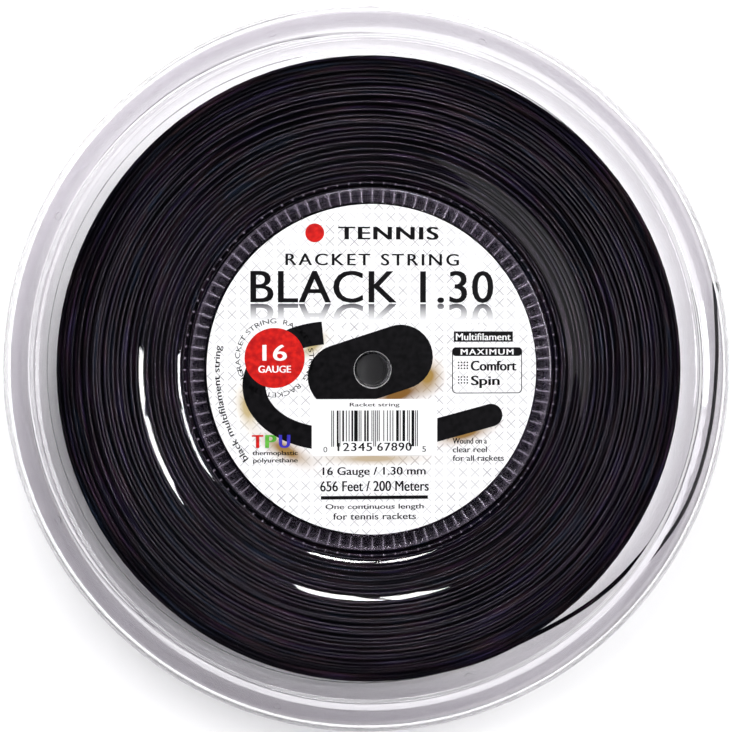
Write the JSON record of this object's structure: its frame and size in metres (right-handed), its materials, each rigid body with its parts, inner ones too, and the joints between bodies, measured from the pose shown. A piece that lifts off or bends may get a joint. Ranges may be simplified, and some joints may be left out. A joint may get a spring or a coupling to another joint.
{
  "type": "string reel",
  "caption": "Clear two-flange reel with a recessed ribbed hub and centre bore, holding a full winding of black racket string with one free end.",
  "frame": {"origin": "on the reel's axis, in the plane of the rear flange's rest bead, on which the reel lies", "axes": "+Z along the spindle bore, from the rear flange to the labelled front flange; +Y is the top of the label as it is read; +X is the label's right"},
  "size_m": [0.21, 0.21, 0.028],
  "materials": {
    "clear_plastic": "clear moulded polystyrene, glossy",
    "string": "glossy black multifilament string with a faint purple tint",
    "label_paper": "semi-gloss printed label paper",
    "sticker_paper": "matt white sticker with black print"
  },
  "bodies": {
    "root": {"front_flange": "clear_plastic", "rear_flange": "clear_plastic", "hub_core": "clear_plastic", "string_winding": "string", "string_tail": "string", "front_label": "label_paper", "barcode_sticker": "sticker_paper"}
  },
  "joints": []
}
